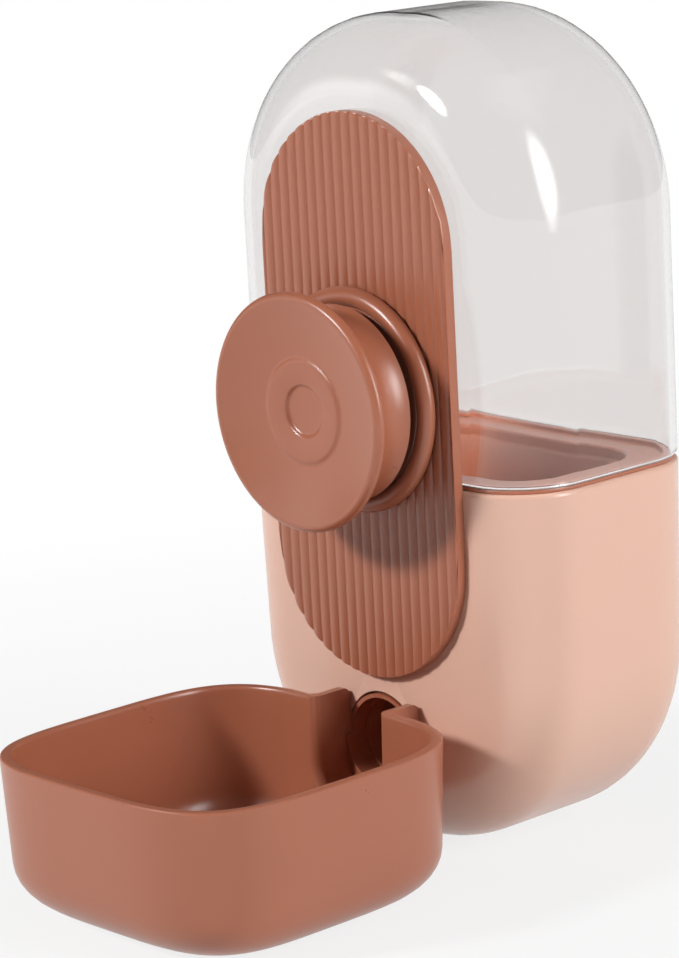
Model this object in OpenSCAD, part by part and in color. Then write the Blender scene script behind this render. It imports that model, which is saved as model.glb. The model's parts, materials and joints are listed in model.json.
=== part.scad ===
// Gravity drinker for small animals that clamps to the bars of a cage.
// A clear tank stands on a base, feeds a well through a sprung valve, and a
// bowl plugs into the well from the front. A knob on a stud pinches the bars
// against a ribbed plate.
//
// Millimetres, +Z up, -Y towards the cage. The origin is the point where the
// knob's axis meets the front face of the ribbed plate.

/* [Body] */
// Width of the body at the joint between tank and base
body_w = 115; // [112:1:130]
// Depth of the base, front to back
body_d = 69.7; // [66:0.1:80]
// Radius of the long front and back edges of the body
edge_r = 20; // [16:0.5:22]
// Height of the base, from its underside to the joint
base_h = 102.8; // [100:0.1:112]
// Radius of the base's bottom corners, seen from the front
base_corner_r = 55.5; // [48:0.5:55.5]
// Wall of the base
base_wall = 2.4; // [2:0.1:3]
// Level of the joint, above the knob's axis when positive
joint_z = -21.2; // [-24:0.1:-19]

/* [Tank] */
// Height of the clear shell above its bottom edge
tank_h = 118.6; // [100:0.1:140]
// Radius of the tank's top corners, seen from the front
tank_corner_r = 53.3; // [45:0.1:54]
// Wall of the clear shell
tank_wall = 2; // [1.6:0.1:2.6]
// Gap between the ribbed plate and the clear shell, which lets the tank lift
tank_gap = 0.4; // [0.3:0.1:1]

/* [Tank floor] */
// Thickness of the floor's flange, which shows as a band in the joint
flange_t = 1; // [1:0.1:2]
// Setback of the flange's edge from the body's surface
flange_setback = 1.2; // [1:0.1:1.6]
// Thickness of the flat seal under the clear shell's edge
seal_t = 0.4; // [0.3:0.05:1]
// Height of the rim that stands up inside the clear shell
plug_h = 0.5; // [0.4:0.1:4]
// Thickness of the floor's walls
floor_wall = 2; // [1.6:0.1:2.5]
// Depth of the skirt that locates the floor in the base
skirt_h = 4; // [3:0.5:6]
// Width of the ledge between the body's surface and the dish
ledge_w = 12.5; // [10:0.5:15]
// Radius of the dish's corners
dish_r = 13; // [8:0.5:18]
// Depth of the dish's upright wall
dish_step = 3; // [2:0.5:6]
// Distance from the joint down to the bottom of the funnel
funnel_h = 41; // [36:1:46]
// Radius of the funnel's bottom opening
funnel_r = 13.4; // [12:0.1:14]

/* [Neck and valve] */
// Outside radius of the threaded neck
neck_r = 17; // [16.5:0.1:18]
// Wall of the neck
neck_wall = 1.9; // [1.5:0.1:2]
// Length of the neck below the funnel
neck_h = 16; // [14:0.5:18]
// Clearance between neck and cap
cap_gap = 0.3; // [0.2:0.05:0.5]
// Wall of the cap
cap_wall = 2.4; // [2:0.1:3]
// Length of the cap's skirt above its floor
cap_skirt = 13; // [10:0.5:13.5]
// Thickness of the cap's floor
cap_floor_t = 2.3; // [2:0.1:3]
// Thickness of the cap's gasket
gasket_t = 1.5; // [1:0.1:2]
// Inside radius of the cap's gasket
gasket_in_r = 12.6; // [12:0.1:14]
// Radius of the valve's port through the cap's floor
port_r = 6.5; // [5.5:0.1:7]
// Inside radius of the outlet tube below the cap
outlet_r = 8.5; // [8:0.1:10]
// Wall of the outlet tube
outlet_wall = 1.8; // [1.5:0.1:2.2]
// Length of the outlet tube, whose mouth sets the water level
outlet_h = 10.2; // [8:0.1:12]
// Radius of the valve's head
head_r = 9.2; // [8:0.1:10]
// Thickness of the valve's head
head_t = 2; // [1.6:0.1:2.5]
// Thickness of the valve's rubber washer
washer_t = 1.5; // [1:0.1:2]
// Radius of the valve's stem
stem_r = 2.2; // [1.8:0.1:2.5]
// Height by which the post holds the valve open
valve_open = 3; // [2:0.1:3.5]
// Length of the stem below the mouth of the outlet tube, with the valve open
stem_below = 3.9; // [3:0.1:5]
// Length of the guide stem above the head
guide_h = 14; // [12:0.5:16]
// Thickness of the bridge that guides the stem
bridge_t = 2.4; // [2:0.1:2.6]
// Radius of the bridge's hub
bridge_hub_r = 4.6; // [4:0.1:5]
// Number of arms on the bridge
bridge_arms = 3; // [3:1:4]
// Mean radius of the valve spring
spring_r = 6; // [5.6:0.1:7]
// Wire diameter of the valve spring
spring_wire = 0.8; // [0.6:0.1:1]
// Turns of the valve spring
spring_turns = 4; // [3:0.5:5]

/* [Well] */
// Outside radius of the well
well_r = 24.5; // [23:0.5:25]
// Wall of the well
well_wall = 2; // [1.6:0.1:2.5]
// Radius of the well's bottom edge
well_edge_r = 6; // [4:0.5:7]
// Distance from the base's underside to the well's underside
well_lift = 7.5; // [7:0.1:9]
// Distance from the base's underside to the well's rim
well_top = 41; // [39:0.5:41]
// Radius of the post that opens the valve
post_r = 3.2; // [2.8:0.1:4]
// Height of the outlet's axis above the base's underside
port_z = 29.8; // [29:0.1:30]
// Radius of the round hole in the base's front
port_hole_r = 13.6; // [13.4:0.1:14.2]
// Amount by which the bore of the well's socket is narrower than that hole
socket_step = 0.4; // [0.2:0.05:0.6]
// Wall of the well's socket
socket_wall = 2.1; // [1.8:0.1:2.4]
// Gap between the socket's mouth and the inside of the base's wall
socket_gap = 0.3; // [0.2:0.05:1]
// Half distance between the well's screws
well_screw_x = 13; // [11:0.5:14]

/* [Bowl] */
// Width of the bowl
bowl_w = 98; // [90:1:110]
// Depth of the bowl, front to back
bowl_d = 94.7; // [85:1:105]
// Squareness of the bowl's outline, where 2 is an ellipse
bowl_power = 4; // [3:0.1:5]
// Height of the bowl's rim above its underside
bowl_h = 39.2; // [37:0.1:41]
// Wall of the bowl
bowl_wall = 2.7; // [2.2:0.1:3]
// Radius of the bowl's bottom edge
bowl_edge_r = 12.2; // [8:0.2:15]
// Amount by which the bowl's sides lean in, from rim to bottom
bowl_lean = 1.7; // [0:0.1:4]
// Height of the bowl's underside above the base's underside
bowl_lift = 1.5; // [0:0.1:3]
// Gap for the cage bars between the bowl and the plate's front face
bar_gap = 6.9; // [5:0.1:10]
// Half width of the channel from the well to the bowl
throat_r = 12.2; // [12:0.1:12.8]
// Wall of that channel
throat_wall = 2.3; // [2:0.1:2.4]
// Depth of the channel's round bottom below that of the outlet
throat_drop = 4.6; // [4:0.1:5]
// Gap between the channel's end and the base's front
throat_gap = 0.3; // [0.2:0.1:0.6]
// Length of the spigot inside the socket
spigot_l = 9; // [8:0.5:10]
// Wall of the spigot at its end
spigot_wall = 2.1; // [2:0.1:2.4]
// Wall of the spigot at its mouth
spigot_lip = 1.1; // [1:0.1:1.6]
// Clearance between the spigot and the socket
spigot_gap = 0.3; // [0.2:0.05:0.4]
// Section radius of the spigot's sealing ring
ring_r = 0.6; // [0.5:0.05:0.65]
// Clearance between the sealing ring and the socket
ring_gap = 0.04; // [0.02:0.01:0.08]

/* [Plate] */
// Width of the ribbed plate
plate_w = 69; // [64:1:76]
// Height of the ribbed plate
plate_h = 151.3; // [140:1:160]
// Thickness of the ribbed plate
plate_t = 3.2; // [3:0.1:4]
// Distance between ribs
rib_pitch = 3.54; // [3:0.01:4]
// Number of ribs
rib_count = 17; // [13:2:17]
// Radius of each rib's rounded crest
rib_r = 2.2; // [2.05:0.05:3]
// Radius of the plain pad round the stud
pad_r = 12; // [11:0.5:14]
// Half distance between the plate's screws
plate_screw_x = 18; // [15:0.5:20]
// Level of the upper pair of the plate's screws
plate_screw_hi = -33; // [-36:0.5:-30]
// Level of the lower pair of the plate's screws
plate_screw_lo = -58; // [-62:0.5:-50]

/* [Fasteners] */
// Radius of the small screws' shanks
screw_r = 1.5; // [1.25:0.05:1.6]
// Radius of the small screws' heads
screw_head_r = 2.8; // [2.5:0.1:3]
// Thickness of the small screws' heads
screw_head_t = 1.8; // [1.5:0.1:2]
// Length of the plate's screws inside the plate
plate_screw_bite = 2; // [1.5:0.1:2.2]
// Length of the well's screws inside the well
well_screw_bite = 6; // [5:0.5:7]

/* [Knob] */
// Radius of the stud
stud_r = 4; // [3.5:0.1:4]
// Length of the stud in front of the plate
stud_l = 15.6; // [14:0.1:16]
// Width across the flats of the stud's head
stud_head_af = 16; // [14:0.5:18]
// Thickness of the stud's head
stud_head_t = 1.6; // [1.2:0.1:1.8]
// Gap between the jaw and the ribs with the knob closed
jaw_gap = 0.3; // [0.2:0.05:1]
// Outer radius of the jaw
jaw_r = 30.1; // [28:0.1:33]
// Radius of the jaw's rounded lip
lip_r = 2.6; // [2:0.1:3]
// Distance of the lip's centre in front of the plate
lip_f = 1.5; // [1.3:0.1:2]
// Thickness of the jaw's web
jaw_web = 2.1; // [1.6:0.1:2.5]
// Radius of the knob's dished face
knob_r = 31.6; // [29:0.1:35]
// Distance of the knob's rim in front of the plate
knob_f = 21.6; // [20.5:0.1:23]
// Radius of the rim's rounding
rim_r = 1.7; // [1.4:0.1:2]
// Depth of the dish below the rim's crest
knob_dish = 4.4; // [3:0.1:4.6]
// Distance of the knob's rear edge in front of the plate
knob_rear_f = 6.05; // [5.8:0.05:7]
// Outer radius of the knob's rear edge
knob_rear_r = 26.2; // [25:0.1:27]
// Smallest radius of the knob's waist
waist_r = 24.7; // [23.5:0.1:25]
// Radius of the waist's curve
waist_curve_r = 12; // [11:0.5:16]
// Wall of the knob
knob_wall = 2.3; // [2:0.1:2.6]
// Outside radius of the ring on the dish
ring_out_r = 13.9; // [12:0.1:16]
// Inside radius of the ring on the dish
ring_in_r = 6.7; // [5.5:0.1:8]
// Height of the ring above the dish
ring_h = 0.8; // [0.5:0.1:1.2]
// Radius of the knob's hub
hub_r = 9; // [8.5:0.1:9.5]
// Radius of the nut in the hub
nut_r = 6.4; // [6:0.1:6.6]
// Length of the nut
nut_l = 9; // [8:0.5:10]
// Outside radius of the clip that holds the jaw on the hub
clip_r = 11.4; // [11:0.1:11.6]
// Thickness of the clip
clip_t = 0.7; // [0.5:0.1:0.8]
// Radial clearance of turning and sliding fits
run_gap = 0.06; // [0.03:0.01:0.08]

/* [Hidden] */
$fn = 96;

terracotta = [0.66, 0.42, 0.33];
blush = [0.89, 0.73, 0.65];
clear = [0.9, 0.9, 0.9, 0.35];
steel = [0.75, 0.75, 0.77];
brass = [0.78, 0.66, 0.38];
milky = [0.93, 0.93, 0.91];
silicone = [0.82, 0.82, 0.80];

eps = 0.01;      // overlap that keeps unions and cuts whole
fit = 0.05;      // clearance of parts that are pressed or glued together
over = 3;        // length by which a cutter passes its workpiece
hull_fn = 32;    // facets round the smooth hulls

base_y = plate_t;                        // front face of the base
centre_y = base_y + body_d / 2;          // axis of tank, valve and well
base_z = joint_z - base_h;               // underside of the base
flange_z = joint_z + flange_t;           // top of the floor's flange
tank_z = flange_z + seal_t;              // bottom edge of the clear shell
tank_y = base_y + tank_gap;              // front face of the clear shell
tank_d = body_d - tank_gap;              // depth of the clear shell
funnel_z = joint_z - funnel_h;           // bottom of the funnel
neck_z = funnel_z - neck_h;              // end of the neck
neck_in_r = neck_r - neck_wall;
seat_z = neck_z - gasket_t;              // top of the cap's floor
cap_z = seat_z - cap_floor_t;            // underside of the cap's floor
cap_in_r = neck_r + cap_gap;
cap_r = cap_in_r + cap_wall;
mouth_z = cap_z - outlet_h;              // mouth of the outlet tube
washer_z = seat_z + valve_open;          // underside of the open valve's washer
head_z = washer_z + washer_t;            // underside of the valve's head
tip_z = mouth_z - stem_below;            // tip of the open valve's stem
bridge_z = funnel_z - bridge_t;          // underside of the bridge
port_axis_z = base_z + port_z;           // axis of hole, socket and spigot
socket_in_r = port_hole_r - socket_step;
socket_r = socket_in_r + socket_wall;
spigot_r = socket_in_r - spigot_gap;
well_z = base_z + well_lift;             // underside of the well
bowl_back_y = -bar_gap;
bowl_y = bowl_back_y - bowl_d / 2;       // centre of the bowl
bowl_z = base_z + bowl_lift;             // underside of the bowl
rim_z = bowl_z + bowl_h;
throat_y = base_y - throat_gap;          // end of the open channel
seal_y = throat_y + spigot_l - 3;        // place of the spigot's sealing ring

// ---------------------------------------------------------------- outlines

// Rounded rectangle, w by d, centred on X, with its front edge on Y = 0
module rounded(w, d, r) {
    translate([-w / 2 + r, 0]) square([w - 2 * r, d]);
    translate([-w / 2, r]) square([w, d - 2 * r]);
    for (x = [-1, 1], y = [r, d - r]) translate([x * (w / 2 - r), y]) circle(r);
}

// Outline of the body at the joint, moved inwards by inset
module joint_outline(inset) {
    translate([0, inset])
        rounded(body_w - 2 * inset, body_d - 2 * inset, edge_r - inset);
}

// The same for the clear shell, whose front stands back from the plate
module tank_outline(inset) {
    translate([0, tank_gap + inset])
        rounded(body_w - 2 * inset, tank_d - 2 * inset, edge_r - inset);
}

// A strip from X = 0 to X = len, d wide, with its two far corners rounded
module strip(len, d, r) {
    square([len - r, d]);
    translate([len - r - eps, r]) square([r + eps, d - 2 * r]);
    for (y = [r, d - r]) translate([len - r, y]) circle(r);
}

// Half of the body as a solid, from the joint plane at Z = 0 down to -h, moved
// inwards by inset and carried on above the joint plane by rise
module half_body(h, d, corner_r, inset = 0, rise = 0) {
    cx = body_w / 2 - corner_r;
    r = corner_r - inset;
    dd = d - 2 * inset;
    er = edge_r - inset;
    translate([0, inset, corner_r - h]) {
        linear_extrude(h - corner_r + rise) rounded(2 * (cx + r), dd, er);
        translate([-cx, 0, 0]) rotate([90, 0, 90]) linear_extrude(2 * cx)
            rotate(-90) strip(r, dd, er);
        for (m = [0, 1]) mirror([m, 0, 0]) translate([cx, 0, 0])
            rotate([-90, 0, 0]) rotate_extrude(angle = 90) strip(r, dd, er);
    }
}

// ---------------------------------------------------------------- base

module base_shell() color(blush) difference() {
    union() {
        difference() {
            translate([0, base_y, joint_z]) half_body(base_h, body_d, base_corner_r);
            translate([0, base_y, joint_z])
                half_body(base_h, body_d, base_corner_r, base_wall, over);
        }
        intersection() {
            for (x = [-1, 1]) translate([x * well_screw_x, centre_y, base_z])
                cylinder(h = well_lift, r = screw_head_r + base_wall);
            translate([0, base_y, joint_z])
                half_body(base_h, body_d, base_corner_r, base_wall / 2);
        }
    }
    translate([0, base_y - over, port_axis_z]) rotate([-90, 0, 0])
        cylinder(h = edge_r + over, r = port_hole_r);
    for (x = [-1, 1]) translate([x * well_screw_x, centre_y, base_z - over]) {
        cylinder(h = well_lift + 2 * over, r = screw_r + 0.2);
        cylinder(h = well_lift - base_wall + over, r = screw_head_r + 0.3);
    }
    at_plate_screws() translate([0, 0, -over]) cylinder(h = base_wall + 2 * over, r = screw_r + 0.2);
}

// Puts its children at each plate screw, with +Z pointing to the cage (-Y) and
// Z = 0 on the inside face of the base's front wall
module at_plate_screws() {
    for (x = [-1, 1], z = [plate_screw_hi, plate_screw_lo])
        translate([x * plate_screw_x, base_y + base_wall, z]) rotate([90, 0, 0]) children();
}

module plate_screws() color(steel) at_plate_screws() {
    translate([0, 0, -screw_head_t]) cylinder(h = screw_head_t, r = screw_head_r);
    translate([0, 0, -eps]) cylinder(h = base_wall + plate_screw_bite + eps, r = screw_r);
}

// ---------------------------------------------------------------- plate

module stadium(w, h) {
    square([w, h - w], center = true);
    for (z = [-1, 1]) translate([0, z * (h - w) / 2]) circle(w / 2);
}

module mount_plate() color(terracotta) difference() {
    intersection() {
        translate([0, plate_t, 0]) rotate([90, 0, 0]) linear_extrude(plate_t + over)
            stadium(plate_w, plate_h);
        union() {
            valley = rib_r - sqrt(rib_r * rib_r - rib_pitch * rib_pitch / 4);
            border_x = rib_count * rib_pitch / 2;
            translate([-plate_w / 2 - over, valley, -plate_h / 2 - over])
                cube([plate_w + 2 * over, plate_t, plate_h + 2 * over]);
            for (i = [0:rib_count - 1])
                translate([(i - (rib_count - 1) / 2) * rib_pitch, rib_r, -plate_h / 2 - over])
                    intersection() {
                        cylinder(h = plate_h + 2 * over, r = rib_r);
                        translate([-rib_pitch / 2, -rib_r - over, 0])
                            cube([rib_pitch, rib_r + over, plate_h + 2 * over]);
                    }
            for (m = [0, 1]) mirror([m, 0, 0]) translate([border_x + 0.5, 0, -plate_h / 2 - over])
                cube([plate_w, plate_t, plate_h + 2 * over]);
            rotate([-90, 0, 0]) cylinder(h = plate_t, r = pad_r);
        }
    }
    rotate([90, 0, 0]) translate([0, 0, -plate_t - over])
        cylinder(h = plate_t + 2 * over, r = stud_r + fit);
    translate([0, plate_t + over, 0]) rotate([90, 0, 0])
        cylinder(h = stud_head_t + over, r = (stud_head_af / 2 + fit) / cos(30), $fn = 6);
    at_plate_screws() cylinder(h = base_wall + plate_screw_bite + fit, r = screw_r + 0.02);
}

// ---------------------------------------------------------------- clamp

// Turns a profile of (radius, distance in front of the plate) about the knob's axis
module turned() rotate([90, 0, 0]) rotate_extrude() children();

module clamp_stud() color(steel) {
    translate([0, plate_t, 0]) rotate([90, 0, 0])
        cylinder(h = stud_head_t, r = stud_head_af / 2 / cos(30), $fn = 6);
    turned() {
        translate([0, -plate_t + stud_head_t - eps])
            square([stud_r, plate_t - stud_head_t + stud_l - 1 + eps]);
        polygon([[0, stud_l - 1 - eps], [stud_r, stud_l - 1 - eps], [stud_r - 1, stud_l], [0, stud_l]]);
    }
}

// Depth of the recess for the clip in the jaw's back
clip_f = jaw_gap + 0.2;                   // back of the clip
recess_f = clip_f + clip_t + 0.2;         // floor of the recess

module clamp_jaw() color(terracotta) turned() difference() {
    union() {
        translate([hub_r + run_gap, jaw_gap]) square([jaw_r - lip_r - hub_r - run_gap, jaw_web]);
        translate([jaw_r - lip_r, lip_f]) circle(lip_r);
        translate([hub_r + run_gap, jaw_gap])
            square([knob_wall + 1.5, knob_rear_f - run_gap - jaw_gap]);
    }
    translate([0, -over]) square([jaw_r + over, jaw_gap + over]);
    translate([0, -over]) square([clip_r + 0.4, recess_f + over]);
}

// Centre of the circle that hollows the dish, on the knob's axis
dish_chord = knob_r - rim_r;
crest_f = knob_f + rim_r * 0.6;
dish_floor = crest_f - knob_dish;
dish_ball = (dish_chord * dish_chord + knob_dish * knob_dish) / (2 * knob_dish);
web_f = dish_floor - knob_wall;           // back of the dished wall
waist_f = knob_rear_f
    + sqrt(pow(waist_curve_r, 2) - pow(waist_r + waist_curve_r - knob_rear_r, 2));

module knob_body() color(terracotta) turned() difference() {
    union() {
        difference() {
            translate([0, knob_rear_f]) square([knob_r - rim_r, crest_f - knob_rear_f]);
            translate([waist_r + waist_curve_r, waist_f]) circle(waist_curve_r);
            translate([0, dish_floor + dish_ball]) circle(dish_ball, $fn = 360);
            translate([hub_r - eps, -over])
                square([waist_r - knob_wall - hub_r + eps, web_f + over]);
        }
        translate([knob_r - rim_r, knob_f - rim_r * 0.4]) circle(rim_r);
        translate([0, jaw_gap + 0.1]) square([hub_r, web_f - jaw_gap]);
        difference() {
            translate([ring_in_r, web_f + eps]) square([ring_out_r - ring_in_r, dish_floor - web_f + ring_h]);
            translate([0, dish_floor + ring_h + dish_ball * 4]) circle(dish_ball * 4, $fn = 360);
        }
    }
    translate([-eps, -over]) square([nut_r + fit / 2 + eps, jaw_gap + 1 + nut_l + over + fit]);
    translate([-eps, -over]) square([stud_r + 0.4 + eps, stud_l + 0.5 + over]);
    translate([clip_r - 3.2 - fit, clip_f - fit / 2]) square([4, clip_t + fit]);
}

module knob_nut() color(brass) turned()
    translate([stud_r + run_gap, jaw_gap + 1]) square([nut_r - stud_r - run_gap, nut_l]);

module jaw_clip() color(steel) turned()
    translate([clip_r - 3.2, clip_f]) square([3.2, clip_t]);

// ---------------------------------------------------------------- well

module water_well() color(terracotta) intersection() {
    translate([0, base_y, joint_z])
        half_body(base_h, body_d, base_corner_r, base_wall + socket_gap);
    difference() {
        union() {
            translate([0, centre_y, 0]) rotate_extrude() well_profile();
            translate([0, base_y, port_axis_z]) rotate([-90, 0, 0])
                cylinder(h = body_d / 2 - well_r + well_wall * 3, r = socket_r);
            translate([0, centre_y, well_z + eps]) {
                cylinder(h = tip_z - fit - well_z - eps, r = post_r);
                for (x = [-1, 1]) translate([x * well_screw_x, 0, 0])
                    cylinder(h = well_screw_bite + 3, r = screw_r + 2);
            }
        }
        translate([0, base_y - over, port_axis_z]) rotate([-90, 0, 0])
            cylinder(h = body_d / 2 - well_r + well_wall * 3 + over + 2, r = socket_in_r);
        translate([0, centre_y, 0]) difference() {
            rotate_extrude() well_cavity();
            translate([0, 0, well_z]) {
                cylinder(h = tip_z - fit - well_z, r = post_r);
                for (x = [-1, 1]) translate([x * well_screw_x, 0, 0])
                    cylinder(h = well_screw_bite + 3, r = screw_r + 2);
            }
        }
        for (x = [-1, 1]) translate([x * well_screw_x, centre_y, well_z - over])
            cylinder(h = well_screw_bite + over + fit, r = screw_r + 0.02);
    }
}

module well_profile() {
    translate([0, well_z]) square([well_r - well_edge_r, well_edge_r + eps]);
    translate([well_r - well_edge_r, well_z + well_edge_r]) intersection() {
        circle(well_edge_r);
        translate([0, -well_edge_r]) square(well_edge_r + eps);
    }
    translate([0, well_z + well_edge_r]) square([well_r, base_z + well_top - well_z - well_edge_r]);
}

module well_cavity() {
    r = well_edge_r - well_wall;
    in_r = well_r - well_wall;
    translate([0, well_z + well_wall]) square([in_r - r, r + eps]);
    translate([in_r - r, well_z + well_edge_r]) intersection() {
        circle(r);
        translate([0, -r]) square(r + eps);
    }
    translate([0, well_z + well_edge_r]) square([in_r, base_z + well_top - well_z + over]);
}

module well_screws() color(steel) for (x = [-1, 1]) {
    head_z0 = base_z + well_lift - base_wall;
    translate([x * well_screw_x, centre_y, 0]) {
        translate([0, 0, head_z0 - screw_head_t]) cylinder(h = screw_head_t, r = screw_head_r);
        translate([0, 0, head_z0 - eps])
            cylinder(h = base_wall + well_screw_bite + eps, r = screw_r);
    }
}

// ---------------------------------------------------------------- bowl

// Rounded square with slightly bowed sides, half sizes a and b
function bowed(a, b) = [for (i = [0:71]) let (t = i * 5, c = cos(t), s = sin(t), p = 2 / bowl_power)
    [a * sign(c) * pow(abs(c), p), b * sign(s) * pow(abs(s), p)]];

// One thin slice of the bowl, at a depth below the rim
module bowl_slice(depth, inset) translate([0, bowl_y, rim_z - depth]) linear_extrude(eps)
    polygon(bowed(bowl_w / 2 - inset, bowl_d / 2 - inset));

// Convex solid of the bowl, moved inwards by wall and up by floor
module bowl_solid(wall, floor, rise = 0) {
    r = bowl_edge_r - wall;
    h = bowl_h - floor;
    hull() {
        bowl_slice(-rise, wall);
        for (t = [0:15:90]) let (depth = h - r + r * sin(t))
            bowl_slice(depth, wall + bowl_lean * depth / bowl_h + r * (1 - cos(t)));
    }
}

// Outline of the open channel, seen from the front: a half round with upright walls
module channel(r, rise) translate([0, -throat_drop]) {
    circle(r);
    translate([-r, 0]) square([2 * r, rim_z - port_axis_z + throat_drop + rise]);
}

module along_y(y0, y1) translate([0, y1, port_axis_z]) rotate([90, 0, 0])
    linear_extrude(y1 - y0) children();

module bowl() color(terracotta) difference() {
    union() {
        bowl_solid(0, 0);
        along_y(bowl_back_y - bowl_wall, throat_y) channel(throat_r + throat_wall, 0);
        along_y(throat_y - eps, throat_y + spigot_l) circle(spigot_r);
    }
    bowl_solid(bowl_wall, bowl_wall, over);
    along_y(bowl_back_y - 3 * bowl_wall, throat_y - throat_wall) channel(throat_r, over);
    along_y(throat_y - throat_wall - over, throat_y)
        translate([-throat_r, 0]) square([2 * throat_r, spigot_r + over]);
    translate([0, throat_y - throat_wall - over, port_axis_z]) rotate([-90, 0, 0]) {
        cylinder(h = throat_wall + spigot_l + 2 * over, r = spigot_r - spigot_wall);
        cylinder(h = throat_wall + spigot_l / 2 + over, r = spigot_r - spigot_lip);
    }
    seal_groove();
}

module seal_groove() translate([0, seal_y - ring_r - 0.1, port_axis_z]) rotate([-90, 0, 0])
    rotate_extrude() translate([socket_in_r - ring_gap - 2 * ring_r - fit, 0])
        square([over, 2 * ring_r + 0.2]);

module bowl_seal() color(silicone) translate([0, seal_y, port_axis_z]) rotate([-90, 0, 0])
    rotate_extrude() translate([socket_in_r - ring_gap - ring_r, 0]) circle(ring_r);

// ---------------------------------------------------------------- tank

module clear_tank() color(clear) translate([0, tank_y, tank_z]) mirror([0, 0, 1]) difference() {
    half_body(tank_h, tank_d, tank_corner_r);
    half_body(tank_h, tank_d, tank_corner_r, tank_wall, over);
}

plug_inset = tank_wall + fit;             // outside of the rim

module tank_floor() color(terracotta) difference() {
    union() {
        translate([0, base_y, joint_z]) linear_extrude(flange_t) joint_outline(flange_setback);
        translate([0, base_y, flange_z - eps])
            linear_extrude(seal_t + plug_h + eps) tank_outline(plug_inset);
        translate([0, base_y, joint_z - skirt_h]) linear_extrude(skirt_h + eps)
            joint_outline(base_wall + fit * 6);
        funnel(0, 0);
        translate([0, centre_y, neck_z]) cylinder(h = neck_h + eps, r = neck_r);
    }
    // room above the ledge, inside the rim
    translate([0, base_y, flange_z])
        linear_extrude(seal_t + plug_h + over) tank_outline(plug_inset + floor_wall);
    // room below the ledge, between the skirt and the funnel
    difference() {
        translate([0, base_y, joint_z - skirt_h - over]) linear_extrude(skirt_h + over)
            joint_outline(base_wall + fit * 6 + floor_wall);
        funnel(0, 0);
    }
    funnel(floor_wall, over);
    translate([0, centre_y, neck_z - over]) {
        cylinder(h = neck_h + over, r = neck_in_r);
        cylinder(h = neck_h + 2 * over, r = funnel_r);
    }
}

// The dish and funnel as a convex solid, moved inwards by wall; top is the height
// by which a cutter carries on above the flange
module funnel(wall, top) {
    w = body_w - 2 * (ledge_w + wall - floor_wall);
    d = body_d - 2 * (ledge_w + wall - floor_wall);
    r = dish_r - wall + floor_wall;
    z0 = joint_z - dish_step;
    hull() {
        translate([0, centre_y - d / 2, z0])
            linear_extrude(dish_step + (top > 0 ? flange_t + top : 0)) rounded(w, d, r, $fn = hull_fn);
        translate([0, centre_y, funnel_z]) cylinder(h = 1, r = wall > 0 ? funnel_r : neck_r, $fn = 64);
    }
}

module tank_seal() color(silicone)
    translate([0, base_y, flange_z]) linear_extrude(seal_t) difference() {
        tank_outline(flange_setback);
        tank_outline(tank_wall);
    }

// ---------------------------------------------------------------- valve

module on_axis() translate([0, centre_y, 0]) children();

module valve_cap() color(milky) on_axis() rotate_extrude() {
    difference() {
        translate([port_r, cap_z]) square([cap_r - port_r, cap_floor_t + gasket_t + cap_skirt]);
        translate([0, seat_z]) square([cap_in_r, gasket_t + cap_skirt + over]);
    }
    translate([outlet_r, mouth_z]) square([outlet_wall, outlet_h + eps]);
}

module cap_gasket() color(silicone) on_axis() rotate_extrude()
    translate([gasket_in_r, seat_z]) square([cap_in_r - fit - gasket_in_r, gasket_t]);

module valve_plunger() color(milky) on_axis() {
    translate([0, 0, tip_z]) cylinder(h = head_z - tip_z + eps, r = stem_r);
    translate([0, 0, head_z]) cylinder(h = head_t, r = head_r);
    translate([0, 0, head_z + head_t - eps]) cylinder(h = guide_h, r = stem_r);
}

module valve_washer() color(silicone) on_axis() rotate_extrude()
    translate([stem_r + fit, washer_z]) square([head_r - stem_r - fit, washer_t]);

module spring_bridge() color(milky) on_axis() translate([0, 0, bridge_z]) difference() {
    union() {
        difference() {
            cylinder(h = bridge_t, r = neck_in_r - fit);
            translate([0, 0, -over]) cylinder(h = bridge_t + 2 * over, r = funnel_r);
        }
        cylinder(h = bridge_t, r = bridge_hub_r);
        for (i = [0:bridge_arms - 1]) rotate(i * 360 / bridge_arms)
            translate([bridge_hub_r - 1, -bridge_t / 2, 0])
                cube([funnel_r - bridge_hub_r + 1.8, bridge_t, bridge_t]);
    }
    translate([0, 0, -over]) cylinder(h = bridge_t + 2 * over, r = stem_r + run_gap);
}

// A ring of eight points of the spring's wire, at turn t of the helix
function wire_ring(t, h) = let (a = 360 * t)
    [for (k = [0:7]) let (b = 45 * k, r = spring_r + spring_wire / 2 * cos(b))
        [r * cos(a), r * sin(a), h + spring_wire / 2 * sin(b)]];

module valve_spring() color(steel) on_axis() {
    z0 = head_z + head_t + spring_wire / 2 + fit;
    z1 = bridge_z - spring_wire / 2 - fit;
    steps = ceil(spring_turns * 14);
    rings = [for (i = [0:steps]) wire_ring(i / 14, z0 + (z1 - z0) * i / steps)];
    points = [for (ring = rings, p = ring) p];
    sides = [for (i = [0:steps - 1], k = [0:7]) let (n = (k + 1) % 8)
        [8 * i + k, 8 * i + n, 8 * i + 8 + n, 8 * i + 8 + k]];
    polyhedron(points, concat(sides, [[for (k = [7:-1:0]) k], [for (k = [0:7]) 8 * steps + k]]));
}

base_shell();
mount_plate();
plate_screws();
clamp_stud();
clamp_jaw();
knob_body();
knob_nut();
jaw_clip();
water_well();
well_screws();
bowl();
bowl_seal();
clear_tank();
tank_floor();
tank_seal();
valve_cap();
cap_gasket();
valve_plunger();
valve_washer();
valve_spring();
spring_bridge();
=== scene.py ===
"""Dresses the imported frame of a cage-mounted drinker.

The clear tank, its floor, the base, the ribbed plate, the knob, its jaw and
the bowl are modelled here as finished mouldings that stand for their CAD
solids. The smaller CAD pieces stay and get materials. Everything is in metres
in the frame's axes: +Z up, -Y towards the cage, origin where the knob's axis
meets the ribbed plate.
"""

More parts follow.
